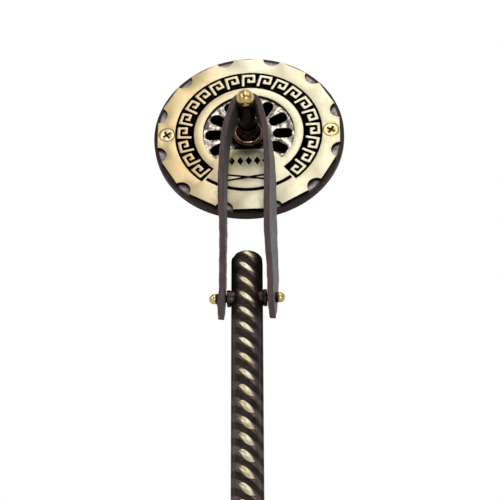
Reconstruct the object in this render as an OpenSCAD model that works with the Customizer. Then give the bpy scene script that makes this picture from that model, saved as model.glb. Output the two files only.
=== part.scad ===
// Long shoehorn with its wall hanger.
// A ribbed steel rod carries a pressed blade. A leather strap, pinned to the rod's top,
// hangs on a ball-ended peg that stands out of a round cast wall plate.
// Origin: centre of the plate's back face, on the wall. +Z is up and the front faces -Y.

/* [Wall plate] */
// Diameter of the cast plate
plate_d = 80; // [74:1:90]
// Thickness of the plate at its raised face
plate_t = 5.2; // [4.6:0.1:7]
// Height of the raised face above the dark base disc
face_h = 1.8; // [1.2:0.1:2.2]
// Number of notches round the edge
notches = 12; // [6:1:12]
// Radius of each edge notch
notch_r = 3.9; // [3:0.1:4.4]
// Outer radius of the sunk ornament band
band_r_out = 31; // [30:0.5:31.5]
// Inner radius of the sunk ornament band
band_r_in = 23; // [22.5:0.5:23.5]
// Depth of the sunk areas
sink = 1.3; // [0.8:0.1:1.6]
// Number of ornament hooks along the band
hooks = 19; // [12:1:19]
// Radius of the sunk centre
centre_r = 19.3; // [19:0.1:20]
// Width of each radial slot in the centre
slot_w = 4.8; // [3.6:0.1:4.8]

/* [Wall screws] */
// Distance between the two wall screws
screw_spacing = 69; // [68:0.5:69]
// Diameter of the wall screws
screw_d = 3.5; // [3:0.1:3.8]
// Diameter of the countersunk screw heads
screw_head_d = 6.6; // [6:0.1:6.6]
// Length of the screws, head included
screw_l = 30; // [20:1:50]

/* [Peg] */
// Distance of the peg ball's centre from the wall
peg_reach = 29.4; // [29:0.1:36]
// Diameter of the peg ball
peg_ball_d = 7.3; // [6.5:0.1:7.4]
// Diameter of the screw that holds the peg
peg_screw_d = 3.9; // [3:0.1:4]
// Outer diameter of the turning sleeve
sleeve_d = 6.6; // [4.8:0.1:6.8]

/* [Strap] */
// Thickness of the leather
strap_t = 2.4; // [2:0.1:2.6]
// Width of the leather, front to back
strap_w = 13.2; // [10:0.1:13.4]
// Inner radius of the strap's top bend
strap_r = 4.3; // [4.2:0.1:4.6]
// Distance between the legs' inner faces at the cross pin
strap_gap = 16.6; // [16.4:0.1:17.5]
// Height from the peg's axis down to the cross pin
pin_drop = 89; // [80:1:110]
// Leather left below the cross pin
strap_tail = 5.6; // [4.5:0.1:9]

/* [Cross pin] */
// Diameter of the cross pin
pin_d = 3; // [2.4:0.1:3]
// Diameter of the ball ends
pin_ball_d = 4.1; // [4:0.1:5]
// Outer diameter of the bush through the rod
bush_d = 6.8; // [6:0.1:7]
// Length of the bush
bush_l = 15.8; // [14:0.1:16]

/* [Handle rod] */
// Diameter of the rod between its ribs
rod_d = 11.3; // [10.8:0.1:11.8]
// Diameter over the ribs
rib_d = 13.1; // [12.6:0.1:13.2]
// Distance from one rib to the next along the rod
rib_pitch = 6.75; // [6.5:0.05:9]
// Width of a rib
rib_w = 2; // [1.6:0.1:2.4]
// Lean of the ribs across the rod, in degrees
rib_lean = 38; // [34:1:42]
// Width of the rod over the plain seams along its two sides
seam_w = 12.4; // [12:0.1:12.6]
// Height of the rod's top above the cross pin
rod_head = 22; // [20:1:24]

/* [Blade] */
// Length of the shoehorn from the rod's top to the blade's tip
horn_l = 600; // [520:10:700]
// Length of the blade
blade_l = 175; // [160:5:200]
// Greatest width of the blade
blade_w = 43; // [38:1:46]
// Thickness of the blade's sheet
blade_t = 1.8; // [1.5:0.1:2]
// Radius of the blade's hollow
blade_r = 26; // [24:1:30]
// Length of the joint between rod and blade
lap_l = 48; // [44:1:56]
// Radius of the blade's lengthwise sweep
sweep_r = 420; // [300:10:800]

/* [Hidden] */

fine = 96;
small = 48;
gap = 0.05;             // running clearance on a radius
loose = 0.3;            // clearance between pieces that move past each other
deep = 100;             // longer than any cut

plate_r = plate_d / 2;
base_t = plate_t - face_h;
notch_step = 360 / notches;
face_apothem = plate_r - 1.8;
floor_t = plate_t - sink;
band_start = -51;       // the band runs from here, over the top, to band_end
band_end = 231;
hook_h = 6;
hook_margin = 1.2;      // degrees left free at each end of the band
hook_step = (band_end - band_start - 2 * hook_margin) / hooks;
hub_r = 5.8;
hub_washer_r = 6.4;
hub_washer_t = 0.9;
hub_nose = 11.2;        // distance of the collar's front from the wall
bore_r = peg_screw_d / 2 + gap;
ball_r = peg_ball_d / 2;
ball_back = 2.9;        // flat seat of the ball, behind its centre
sleeve_front = peg_reach - ball_back - loose;
sleeve_back = hub_nose + loose;

strap_front = sleeve_front - loose;
strap_mid = strap_front - strap_w / 2;
bend_mid = strap_r + strap_t / 2;
bend_z = sleeve_d / 2 + loose - strap_r;
bend_stop = 9;          // the legs leave the bend this many degrees above its middle
leg_x0 = bend_mid * cos(bend_stop);
leg_z0 = bend_z + bend_mid * sin(bend_stop);
leg_x1 = strap_gap / 2 + strap_t / 2;
leg_l = leg_z0 + pin_drop + strap_tail;
leg_open = 30;          // the legs widen over this length and then hang straight

pin_r = pin_d / 2;
pin_ball_r = pin_ball_d / 2;
washer_t = 1.4;         // neck between the leather and each ball end
washer_r = 2.1;
pin_seat = pin_ball_r * 0.35;    // flat seat of the ball ends, inside their centres
pin_ball_x = leg_x1 + strap_t / 2 + washer_t + pin_seat;

rod_r = rod_d / 2;
rib_r = rib_d / 2;
rod_top = rod_head - pin_drop;
horn_bottom = rod_top - horn_l;
blade_top = horn_bottom + blade_l;
rod_bottom = blade_top - lap_l;
dome_r = 1.15 * rod_r;
dome_h = 3;
first_rib = rod_top - 10.75;
ribs = floor((first_rib - rod_bottom) / rib_pitch);
ferrule_r = rib_r + 1.6;
ferrule_l = 13;
ferrule_top = blade_top + 5;
rivet_r = 2;
rivet_zs = [blade_top - 18, blade_top - 36];
rivet_rise = 0.25;      // the front heads stand clear of the blade's hollow by this
seat_r = 3.9;           // washers under the rivets' back heads
seat_out = 0.7;         // they stand out of the rod's back by this
seat_in = 1.2;          // and are let into it by this
tang_w = 12;
straight_l = lap_l + 14;
wide_z = horn_bottom + blade_w / 2;

function lerp(a, b, t) = a + (b - a) * t;
// Half the distance between the legs' middles at s below the end of the bend
function leg_x(s) = lerp(leg_x0, leg_x1, sin(90 * min(1, s / leg_open)));
// Blade's half width at t, 0 at its top and 1 at its widest
function blade_half(t) = lerp(tang_w / 2, blade_w / 2, (1 - cos(180 * t)) / 2);

// Turns a shape drawn in XY, and extruded upwards, to stand on the wall: out of it along -Y
module on_wall(from = 0) {
    translate([0, -from, 0]) rotate([90, 0, 0]) children();
}

// Part of a ring of height h between two angles
module sector(r_in, r_out, from_deg, to_deg, h) {
    rotate([0, 0, from_deg]) rotate_extrude(angle = to_deg - from_deg, $fn = fine)
        translate([r_in, 0]) square([r_out - r_in, h]);
}

// One hook of the running ornament, with its foot at the origin
module hook() {
    w = 1.15;
    out = 2.9;
    linear_extrude(sink) polygon([
        [-out, 0], [-out, hook_h], [out, hook_h], [out, 1.7], [-0.6, 1.7], [-0.6, 3.9],
        [-0.6 + w, 3.9], [-0.6 + w, 1.7 + w], [out - w, 1.7 + w], [out - w, hook_h - w],
        [w - out, hook_h - w], [w - out, 0]
    ]);
}

module ornament() {
    for (i = [0:hooks - 1])
        rotate([0, 0, band_start + hook_margin - 90 + (i + 0.5) * hook_step])
            translate([0, band_r_in + 1, 0]) hook();
}

module edge_notches() {
    for (i = [0:notches - 1])
        rotate([0, 0, (i + 0.5) * notch_step]) translate([plate_r - 0.4, 0, 0])
            cylinder(r = notch_r, h = deep, $fn = small);
}

// Long slot with round ends, pointing away from the middle
module slot() {
    inner = 12.6;
    outer = 16;
    for (r = [inner, outer]) translate([r, 0, 0]) cylinder(d = slot_w, h = deep, $fn = small);
    translate([inner, -slot_w / 2, 0]) cube([outer - inner, slot_w, deep]);
}

// Outline of the plain banner that covers the lower part of the centre
module banner_2d() {
    polygon([[-9, -8.6], [9, -8.6], [15, -14.5], [15, -30], [-15, -30], [-15, -14.5]]);
}

module centre_recess() {
    difference() {
        cylinder(r = centre_r, h = deep, $fn = fine);
        translate([0, 0, -1]) linear_extrude(deep + 2) banner_2d();
    }
}

// Lozenges and crossed lines cut into the banner
module banner_marks() {
    for (i = [-2:2]) translate([i * 3.5, -14, 0]) linear_extrude(deep, center = true)
        polygon([[-1.3, 0], [0, -2.1], [1.3, 0], [0, 2.1]]);
    for (s = [-1, 1]) translate([0, -22.6, 0]) rotate(s * 9) cube([19, 0.7, deep], center = true);
}

module wall_plate() {
    color([0.78, 0.66, 0.42]) difference() {
        union() {
            on_wall() cylinder(r = plate_r, h = base_t, $fn = fine);
            difference() {
                on_wall(base_t - 0.5) rotate([0, 0, notch_step / 2])
                    cylinder(r = face_apothem / cos(180 / notches), h = face_h + 0.5, $fn = notches);
                on_wall(base_t) edge_notches();
                on_wall(floor_t) sector(band_r_in, band_r_out, band_start, band_end, deep);
                on_wall(floor_t) centre_recess();
                on_wall(plate_t - 0.7) sector(28.4, 29.5, -127.5, -52.5, deep);
                on_wall(plate_t - 0.5) translate([0, 0, deep / 2]) banner_marks();
            }
            on_wall(floor_t) ornament();
        }
        for (a = [-30:30:210]) on_wall(1) rotate([0, 0, a]) slot();
        for (s = [-1, 1]) translate([s * screw_spacing / 2, 0, 0]) screw_hole();
        on_wall(-1) cylinder(r = peg_screw_d / 2 + 0.1, h = deep, $fn = small);
        on_wall(-0.01) cylinder(r1 = peg_screw_d + 0.1, r2 = peg_screw_d / 2 + 0.1, h = 2.1, $fn = small);
    }
}

module screw_hole() {
    on_wall(-1) cylinder(d = screw_d + 0.5, h = deep, $fn = small);
    on_wall(plate_t - 2.2)
        cylinder(d1 = screw_d + 0.5, d2 = screw_head_d + 0.2, h = 2.21, $fn = small);
}

// Countersunk wall screw with a cross recess, its head flush with the plate's face
module wall_screw() {
    head_h = 2;
    neck_d = screw_d - 0.8;
    difference() {
        union() {
            on_wall(plate_t - head_h) cylinder(d1 = neck_d, d2 = screw_head_d, h = head_h, $fn = small);
            on_wall(plate_t - screw_l + 4) cylinder(d = screw_d, h = screw_l - 4 - plate_t, $fn = small);
            on_wall(-0.1) cylinder(d = neck_d, h = plate_t - head_h + 0.2, $fn = small);
            on_wall(plate_t - screw_l) cylinder(d1 = 0.6, d2 = screw_d, h = 4, $fn = small);
        }
        on_wall(plate_t - 1.4) for (a = [45, 135]) rotate([0, 0, a]) translate([0, 0, deep / 2])
            cube([3.8, 0.9, deep], center = true);
    }
}

module wall_screws() {
    color([0.80, 0.70, 0.45]) for (s = [-1, 1]) translate([s * screw_spacing / 2, 0, 0]) wall_screw();
}

// Countersunk screw put in from the back; the collar, the sleeve and the ball are on it
module peg_screw() {
    tip = peg_reach - 0.6;
    color([0.45, 0.45, 0.46]) union() {
        on_wall(0.1) cylinder(r1 = peg_screw_d - 0.1, r2 = peg_screw_d / 2, h = 1.9, $fn = small);
        on_wall(0.1) cylinder(d = peg_screw_d, h = tip - 0.1, $fn = small);
    }
}

module hub_washer() {
    color([0.72, 0.52, 0.30]) on_wall(floor_t) difference() {
        cylinder(r = hub_washer_r, h = hub_washer_t, $fn = fine);
        translate([0, 0, -1]) cylinder(r = bore_r, h = deep, $fn = small);
    }
}

// Turned collar, bell-shaped, that stands the peg off the plate
module hub_collar() {
    base = floor_t + hub_washer_t;
    nose_r = sleeve_d / 2 + 0.7;
    color([0.28, 0.17, 0.14]) on_wall(base) difference() {
        rotate_extrude($fn = fine) difference() {
            union() {
                square([hub_r, 1.2]);
                translate([0, 1.2]) intersection() {
                    circle(r = hub_r - 0.3, $fn = fine);
                    square(hub_r);
                }
                square([nose_r, hub_nose - base]);
            }
            translate([-deep, -deep]) square([deep, 2 * deep]);
            translate([0, hub_nose - base]) square(deep);
        }
        translate([0, 0, -1]) cylinder(r = bore_r, h = deep, $fn = small);
    }
}

module peg_ball() {
    color([0.84, 0.68, 0.34]) on_wall(peg_reach) difference() {
        sphere(r = ball_r, $fn = fine);
        translate([0, 0, -ball_back - deep / 2]) cube(deep, center = true);
        translate([0, 0, 0.4 - deep]) cylinder(r = bore_r, h = deep, $fn = small);
    }
}

module peg_sleeve() {
    color([0.20, 0.17, 0.16]) on_wall(sleeve_back) difference() {
        cylinder(d = sleeve_d, h = sleeve_front - sleeve_back, $fn = small);
        translate([0, 0, -1]) cylinder(r = bore_r, h = deep, $fn = small);
    }
}

// One side line of the strap, side is -1 on its inside and 1 on its outside
function strap_line(side) = concat(
    [for (i = [0:12]) let (s = leg_l * (1 - i / 12)) [-leg_x(s) - side * strap_t / 2, leg_z0 - s]],
    [for (i = [1:23]) let (a = 180 - bend_stop - i * (180 - 2 * bend_stop) / 24)
        [(bend_mid + side * strap_t / 2) * cos(a), bend_z + (bend_mid + side * strap_t / 2) * sin(a)]],
    [for (i = [0:12]) let (s = leg_l * i / 12) [leg_x(s) + side * strap_t / 2, leg_z0 - s]]);

function turned(list) = [for (i = [len(list) - 1:-1:0]) list[i]];

module across(r, l) {
    rotate([0, 90, 0]) cylinder(r = r, h = l, center = true, $fn = small);
}

module at_pin() {
    translate([0, -strap_mid, -pin_drop]) children();
}

module leather_strap() {
    color([0.34, 0.26, 0.26]) difference() {
        translate([0, -strap_front + strap_w, 0]) rotate([90, 0, 0]) linear_extrude(strap_w)
            polygon(concat(strap_line(1), turned(strap_line(-1))));
        at_pin() across(pin_r + 0.05, deep);
    }
}

module cross_pin() {
    color([0.24, 0.21, 0.20]) at_pin() across(pin_r, 2 * pin_ball_x);
}

module pin_ball(side) {
    color([0.84, 0.68, 0.34]) at_pin() translate([side * pin_ball_x, 0, 0])
        rotate([0, side * 90, 0]) difference() {
            sphere(r = pin_ball_r, $fn = small);
            translate([0, 0, -pin_seat - deep / 2]) cube(deep, center = true);
            translate([0, 0, -deep]) cylinder(r = pin_r, h = deep, $fn = small);
        }
}

module pin_ball_left() {
    pin_ball(-1);
}

module pin_ball_right() {
    pin_ball(1);
}

module pin_washer(side) {
    color([0.22, 0.19, 0.17]) at_pin() difference() {
        translate([side * (leg_x1 + strap_t / 2 + washer_t / 2), 0, 0]) across(washer_r, washer_t);
        across(pin_r + 0.05, deep);
    }
}

module pin_washer_left() {
    pin_washer(-1);
}

module pin_washer_right() {
    pin_washer(1);
}

// The blade's sheet before it is cut to shape, or with more = 1 all that lies in front of its
// back face. It is straight at the top and sweeps forwards below.
module blade_sheet(more = 0) {
    back = strap_mid;
    inner = more ? 0.1 : blade_r - blade_t;
    sweep_z = blade_top - straight_l;
    translate([0, -back - blade_r, 0]) {
        translate([0, 0, sweep_z]) difference() {
            cylinder(r = blade_r, h = straight_l + 20 * more, $fn = fine);
            translate([0, 0, -1]) cylinder(r = inner, h = deep * 2, $fn = fine);
        }
        translate([0, -sweep_r, sweep_z]) rotate([0, -90, 0]) rotate([0, 0, 90])
            rotate_extrude(angle = 40, $fn = fine * 2) sheet_section(inner);
    }
}

module sheet_section(inner) {
    translate([sweep_r, 0]) difference() {
        circle(r = blade_r, $fn = fine);
        circle(r = inner, $fn = fine);
    }
}

// The blade's outline, seen from the front: tang, widening sides and a round tip
module blade_outline() {
    steps = 14;
    span = blade_top - lap_l - wide_z;
    side = [for (i = [0:steps]) [blade_half(i / steps), blade_top - lap_l - span * i / steps]];
    tip = [for (i = [1:2 * steps - 1]) let (a = -90 * i / steps)
        [blade_w / 2 * cos(a), wide_z + blade_w / 2 * sin(a)]];
    left = [for (p = turned(side)) [-p[0], p[1]]];
    polygon(concat([[-tang_w / 2, blade_top], [tang_w / 2, blade_top]], side, tip, left));
}

module shoe_blade() {
    color([0.42, 0.38, 0.34]) difference() {
        intersection() {
            blade_sheet();
            translate([0, -strap_mid + 1, 0]) rotate([90, 0, 0]) linear_extrude(blade_r + 2)
                blade_outline();
        }
        rivet_holes();
    }
}

module rivet_holes() {
    for (z = rivet_zs) translate([0, 0, z]) rotate([90, 0, 0])
        cylinder(r = rivet_r + 0.05, h = deep, center = true, $fn = small);
}

// Round bar with leaning crescent ribs front and back, a domed top and a flat lap for the blade
module handle_rod() {
    color([0.22, 0.19, 0.17]) difference() {
        translate([0, -strap_mid, 0]) union() {
            translate([0, 0, rod_bottom]) cylinder(r = rod_r, h = rod_top - dome_h - rod_bottom, $fn = fine);
            translate([0, 0, rod_top - dome_h]) rod_dome();
            side_seams();
            for (i = [0:ribs - 1]) translate([0, 0, first_rib - i * rib_pitch])
                rotate([0, rib_lean, 0]) cylinder(r = rib_r, h = rib_w, center = true, $fn = small);
        }
        intersection() {
            blade_sheet(1);
            translate([-deep / 2, -deep, rod_bottom - 20])
                cube([deep, deep, blade_top + 20.1 - rod_bottom]);
        }
        at_pin() across(bush_d / 2 + 0.02, deep);
        rivet_holes();
        for (z = rivet_zs) translate([0, rod_r - strap_mid - seat_in, z]) rotate([-90, 0, 0])
            cylinder(r = seat_r + 0.05, h = deep, $fn = small);
    }
}

// Raised seams along the bar's left and right sides, where its ribs run out
module side_seams() {
    l = rod_top - dome_h - rod_bottom;
    translate([0, 0, rod_bottom]) intersection() {
        cylinder(d = seam_w, h = l, $fn = fine);
        translate([0, 0, l / 2]) cube([seam_w, 3.2, l], center = true);
    }
}

// Rounded end of the bar
module rod_dome() {
    intersection() {
        cylinder(r = rod_r, h = dome_h, $fn = fine);
        translate([0, 0, dome_h - dome_r]) sphere(r = dome_r, $fn = fine);
    }
}

module cross_bush() {
    color([0.30, 0.26, 0.23]) at_pin() difference() {
        across(bush_d / 2, bush_l);
        across(pin_r + gap, deep);
    }
}

// Ring over the top of the joint, round the rod and the blade's tang
module ferrule() {
    color([0.78, 0.62, 0.36]) translate([0, -strap_mid, ferrule_top - ferrule_l]) difference() {
        cylinder(r = ferrule_r, h = ferrule_l, $fn = fine);
        translate([0, 0, -1]) cylinder(r = rib_r + 0.05, h = deep, $fn = fine);
    }
}

module blade_rivets() {
    front = strap_mid + blade_t + rivet_rise;
    back = strap_mid - rod_r - seat_out;
    color([0.82, 0.66, 0.36]) for (z = rivet_zs) translate([0, 0, z]) {
        on_wall(back) cylinder(r = rivet_r, h = front - back, $fn = small);
        on_wall(front) rivet_head();
        translate([0, -back, 0]) rotate([-90, 0, 0]) rivet_head();
    }
}

module rivet_head() {
    intersection() {
        translate([0, 0, -1.6]) sphere(r = 3.6, $fn = small);
        cylinder(r = 4, h = 4, $fn = small);
    }
}

module rivet_washers() {
    color([0.70, 0.55, 0.32]) for (z = rivet_zs) translate([0, 0, z])
        on_wall(strap_mid - rod_r - seat_out) difference() {
            cylinder(r = seat_r, h = seat_out + seat_in, $fn = small);
            translate([0, 0, -1]) cylinder(r = rivet_r + 0.05, h = deep, $fn = small);
        }
}

wall_plate();
wall_screws();
peg_screw();
hub_washer();
hub_collar();
peg_ball();
peg_sleeve();
leather_strap();
cross_pin();
pin_ball_left();
pin_ball_right();
pin_washer_left();
pin_washer_right();
handle_rod();
cross_bush();
ferrule();
shoe_blade();
blade_rivets();
rivet_washers();
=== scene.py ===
"""Looks of the long shoehorn and its wall hanger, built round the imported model.

Pieces are shaped in millimetres and brought to metres when they are finished. The wall is the
plane Y = 0, the front faces -Y and +Z is up. Outlines on the wall plate are written as (x, z).
"""
from math import asin, cos, degrees, hypot, pi, radians, sin, sqrt, tan

import bmesh
import bpy
from mathutils import Matrix, Vector


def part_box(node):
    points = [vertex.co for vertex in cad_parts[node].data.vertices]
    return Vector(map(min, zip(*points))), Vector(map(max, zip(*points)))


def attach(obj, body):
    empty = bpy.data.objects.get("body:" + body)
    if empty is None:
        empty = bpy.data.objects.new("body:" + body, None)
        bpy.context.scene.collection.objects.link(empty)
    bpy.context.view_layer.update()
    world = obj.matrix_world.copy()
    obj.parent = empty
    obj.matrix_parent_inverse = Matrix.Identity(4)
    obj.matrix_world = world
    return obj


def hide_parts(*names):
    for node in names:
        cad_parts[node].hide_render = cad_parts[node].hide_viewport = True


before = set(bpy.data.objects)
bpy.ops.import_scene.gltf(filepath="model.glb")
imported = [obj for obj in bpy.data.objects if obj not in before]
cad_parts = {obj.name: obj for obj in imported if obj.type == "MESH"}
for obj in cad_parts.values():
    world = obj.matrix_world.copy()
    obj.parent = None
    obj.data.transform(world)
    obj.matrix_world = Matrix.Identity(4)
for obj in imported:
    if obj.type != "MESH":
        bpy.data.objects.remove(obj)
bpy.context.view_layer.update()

MM = 0.001
MERGE = 1e-4  # points closer than this become one
CLEAR = 0.02  # kept between touching pieces

# ---------------------------------------------------------------- sizes taken from the frame


def box_mm(node):
    """Lowest and highest corner of a CAD node, in millimetres."""
    low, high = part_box(node)
    return low / MM, high / MM


plate_low, plate_high = box_mm("wall_plate")
screws_low, screws_high = box_mm("wall_screws")
washer_low, washer_high = box_mm("hub_washer")
collar_low, collar_high = box_mm("hub_collar")
sleeve_low, sleeve_high = box_mm("peg_sleeve")
ball_low, ball_high = box_mm("peg_ball")
strap_low, strap_high = box_mm("leather_strap")
pin_low, pin_high = box_mm("cross_pin")
bush_low, bush_high = box_mm("cross_bush")
rod_low, rod_high = box_mm("handle_rod")
ferrule_low, ferrule_high = box_mm("ferrule")
blade_low, blade_high = box_mm("shoe_blade")

PLATE_R = (plate_high.x - plate_low.x) / 2
PLATE_T = -plate_low.y
BASE_T = PLATE_T - 1.8
FLOOR_T = PLATE_T - 1.3
NOTCHES = 12
BAND_OUT, BAND_IN = 31, 23
BAND_FROM, BAND_TO = -51, 231
HOOKS = 19
CENTRE_R = 19.3
NOTCH_R = 3.9
SLOT_R = 2.4
SLOT_FROM, SLOT_TO = 12.6, 16
SCREW_HEAD_R = 3.3
SCREW_R = 1.72
SCREW_X = (screws_high.x - screws_low.x) / 2 - SCREW_HEAD_R
PEG_BORE_R = 2.05
ROD_Y = (rod_high.y + rod_low.y) / 2
PIN_Z = (pin_high.z + pin_low.z) / 2
PIN_R = (pin_high.z - pin_low.z) / 2
RIB_R = (rod_high.y - rod_low.y) / 2
SEAM_R = (rod_high.x - rod_low.x) / 2
ROD_R = RIB_R - 0.9
RIB_ANGLE = 38
RIB_LEAN = tan(radians(RIB_ANGLE))
RIB_PITCH = 6.75

# ---------------------------------------------------------------- shaping helpers


def arc(radius, start, end, steps, centre=(0, 0)):
    """Points on an arc, from one angle to another in degrees, both ends included."""
    turn = [radians(start + (end - start) * i / steps) for i in range(steps + 1)]
    return [(centre[0] + radius * cos(a), centre[1] + radius * sin(a)) for a in turn]


def ring_of(radius, steps, centre=(0, 0)):
    """Points round a full circle."""
    return arc(radius, 0, 360, steps, centre)[:-1]


def turned_by(points, angle):
    """Points turned about the origin by an angle in degrees."""
    c, s = cos(radians(angle)), sin(radians(angle))
    return [(c * x - s * y, s * x + c * y) for x, y in points]


def moved_by(points, dx, dy):
    return [(x + dx, y + dy) for x, y in points]


def fillet(points, radius, steps=4, closed=False):
    """A line of points with its corners rounded, each by at most 45% of its shorter side."""
    rounded = []
    count = len(points)
    for i, here in enumerate(points):
        if not closed and i in (0, count - 1):
            rounded.append(here)
            continue
        p = Vector(here)
        a = Vector(points[i - 1]) - p
        b = Vector(points[(i + 1) % count]) - p
        bend = pi - a.angle(b)
        if bend < radians(12):
            rounded.append(here)
            continue
        reach = min(radius * tan(bend / 2), 0.45 * a.length, 0.45 * b.length)
        start, end = p + a.normalized() * reach, p + b.normalized() * reach
        for k in range(steps + 1):
            t = k / steps
            q = start * (1 - t) ** 2 + p * 2 * t * (1 - t) + end * t ** 2
            rounded.append((q.x, q.y))
    return rounded


def add_loop(bm, points):
    """A closed line of edges, drawn in XY."""
    verts = [bm.verts.new((x, y, 0)) for x, y in points]
    return [bm.edges.new((a, b)) for a, b in zip(verts, verts[1:] + verts[:1])]


def fill_region(loops):
    """A flat bmesh whose first loop is the outside and whose other loops are holes."""
    bm = bmesh.new()
    edges = [e for loop in loops for e in add_loop(bm, loop)]
    bmesh.ops.triangle_fill(bm, use_beauty=True, edges=edges, normal=(0, 0, 1))
    return bm


def join_into(bm, other):
    """Moves the geometry of one bmesh into another and returns its new faces."""
    mesh = bpy.data.meshes.new("part")
    other.to_mesh(mesh)
    other.free()
    before = len(bm.faces)
    bm.from_mesh(mesh)
    bpy.data.meshes.remove(mesh)
    bm.faces.ensure_lookup_table()
    return [bm.faces[i] for i in range(before, len(bm.faces))]


def stack(regions, bottom=0):
    """Raises flat regions that share their borders, each to its own height, as one skin.

    regions is a list of (loops, height). The skin starts at bottom and is closed underneath.
    """
    bm = bmesh.new()
    mark = bm.faces.layers.int.new("region")
    for index, (loops, _) in enumerate(regions):
        for face in join_into(bm, fill_region(loops)):
            face[mark] = index + 1
    bmesh.ops.remove_doubles(bm, verts=bm.verts, dist=MERGE)
    bmesh.ops.recalc_face_normals(bm, faces=bm.faces)
    if bm.faces[0].normal.z > 0:
        bmesh.ops.reverse_faces(bm, faces=bm.faces)
    level = bottom
    bmesh.ops.translate(bm, vec=(0, 0, bottom), verts=bm.verts)
    for height in sorted({h for _, h in regions}):
        rising = [f for f in bm.faces if f[mark] and regions[f[mark] - 1][1] >= height]
        lifted = bmesh.ops.extrude_face_region(bm, geom=rising)["geom"]
        verts = [g for g in lifted if isinstance(g, bmesh.types.BMVert)]
        tops = {g for g in lifted if isinstance(g, bmesh.types.BMFace)}
        for f in bm.faces:
            if f not in tops and f.is_valid and f[mark] and regions[f[mark] - 1][1] >= height:
                f[mark] = 0
        bmesh.ops.translate(bm, vec=(0, 0, height - level), verts=verts)
        level = height
    bmesh.ops.recalc_face_normals(bm, faces=bm.faces)
    return bm


def soften(bm, offset, where, segments=2):
    """Bevels the convex edges between two walls or levels that where picks by its middle."""
    picked = []
    for edge in bm.edges:
        if len(edge.link_faces) != 2 or not edge.is_convex:
            continue
        middle = (edge.verts[0].co + edge.verts[1].co) / 2
        if edge.calc_face_angle() > radians(40) and where(middle):
            picked.append(edge)
    bmesh.ops.bevel(bm, geom=picked, offset=offset, offset_type="OFFSET", segments=segments,
                    profile=0.5, affect="EDGES", clamp_overlap=True, material=-1)


def onto_wall(bm):
    """Stands a shape drawn in XY and raised along Z on the wall, raised along -Y."""
    bmesh.ops.rotate(bm, cent=(0, 0, 0), matrix=Matrix.Rotation(pi / 2, 3, "X"), verts=bm.verts)


def half_section(bm, profile):
    """Draws a (radius, height) outline, ready to be spun round Z."""
    verts = [bm.verts.new((r, 0, h)) for r, h in profile]
    return verts + [bm.edges.new(pair) for pair in zip(verts, verts[1:])]


def spun(profile, steps=48):
    """A turned solid round Z from its (radius, height) outline."""
    bm = bmesh.new()
    bmesh.ops.spin(bm, geom=half_section(bm, profile), cent=(0, 0, 0), axis=(0, 0, 1),
                   angle=2 * pi, steps=steps, use_merge=True)
    bmesh.ops.remove_doubles(bm, verts=bm.verts, dist=MERGE)
    bmesh.ops.recalc_face_normals(bm, faces=bm.faces)
    return bm


def tube_profile(outer, inner, low, high, edge=0.25):
    """Closed outline of a ring or sleeve with rounded edges."""
    corners = [(inner, low), (outer, low), (outer, high), (inner, high)]
    rounded = fillet(corners, edge, 3, closed=True)
    return rounded + rounded[:1]


def grid(across, along, place):
    """A sheet of quads whose point (u, v), both from 0 to 1, goes where place says."""
    bm = bmesh.new()
    bmesh.ops.create_grid(bm, x_segments=across, y_segments=along, size=0.5)
    for vert in bm.verts:
        vert.co = place(vert.co.x + 0.5, vert.co.y + 0.5)
    return bm


def cap_ends(bm):
    bmesh.ops.holes_fill(bm, edges=[e for e in bm.edges if e.is_boundary], sides=0)


def close_wrap(bm):
    """Joins a sheet's two long edges where they meet, and closes its ends."""
    bmesh.ops.remove_doubles(bm, verts=bm.verts, dist=MERGE)
    cap_ends(bm)
    bmesh.ops.recalc_face_normals(bm, faces=bm.faces)


def move(bm, x=0, y=0, z=0):
    bmesh.ops.translate(bm, vec=(x, y, z), verts=bm.verts)


def turn(bm, degrees_, axis):
    bmesh.ops.rotate(bm, cent=(0, 0, 0), matrix=Matrix.Rotation(radians(degrees_), 3, axis),
                     verts=bm.verts)


def piece(name, bm, body, material, replaced=(), sharp=38, flat=None):
    """Turns a bmesh in millimetres into a finished piece that rides on a body.

    flat, if given, says which faces keep flat shading.
    """
    for face in bm.faces:
        face.smooth = not (flat and flat(face))
    bmesh.ops.scale(bm, vec=(MM, MM, MM), verts=bm.verts)
    mesh = bpy.data.meshes.new(name)
    bm.to_mesh(mesh)
    bm.free()
    mesh.set_sharp_from_angle(angle=radians(sharp))
    mesh.materials.append(material)
    obj = bpy.data.objects.new(name, mesh)
    bpy.context.scene.collection.objects.link(obj)
    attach(obj, body)
    if replaced:
        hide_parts(*replaced)
    return obj


def joined(*parts):
    """Several bmeshes as one."""
    bm = parts[0]
    for other in parts[1:]:
        join_into(bm, other)
    return bm


# ---------------------------------------------------------------- finishes


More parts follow.
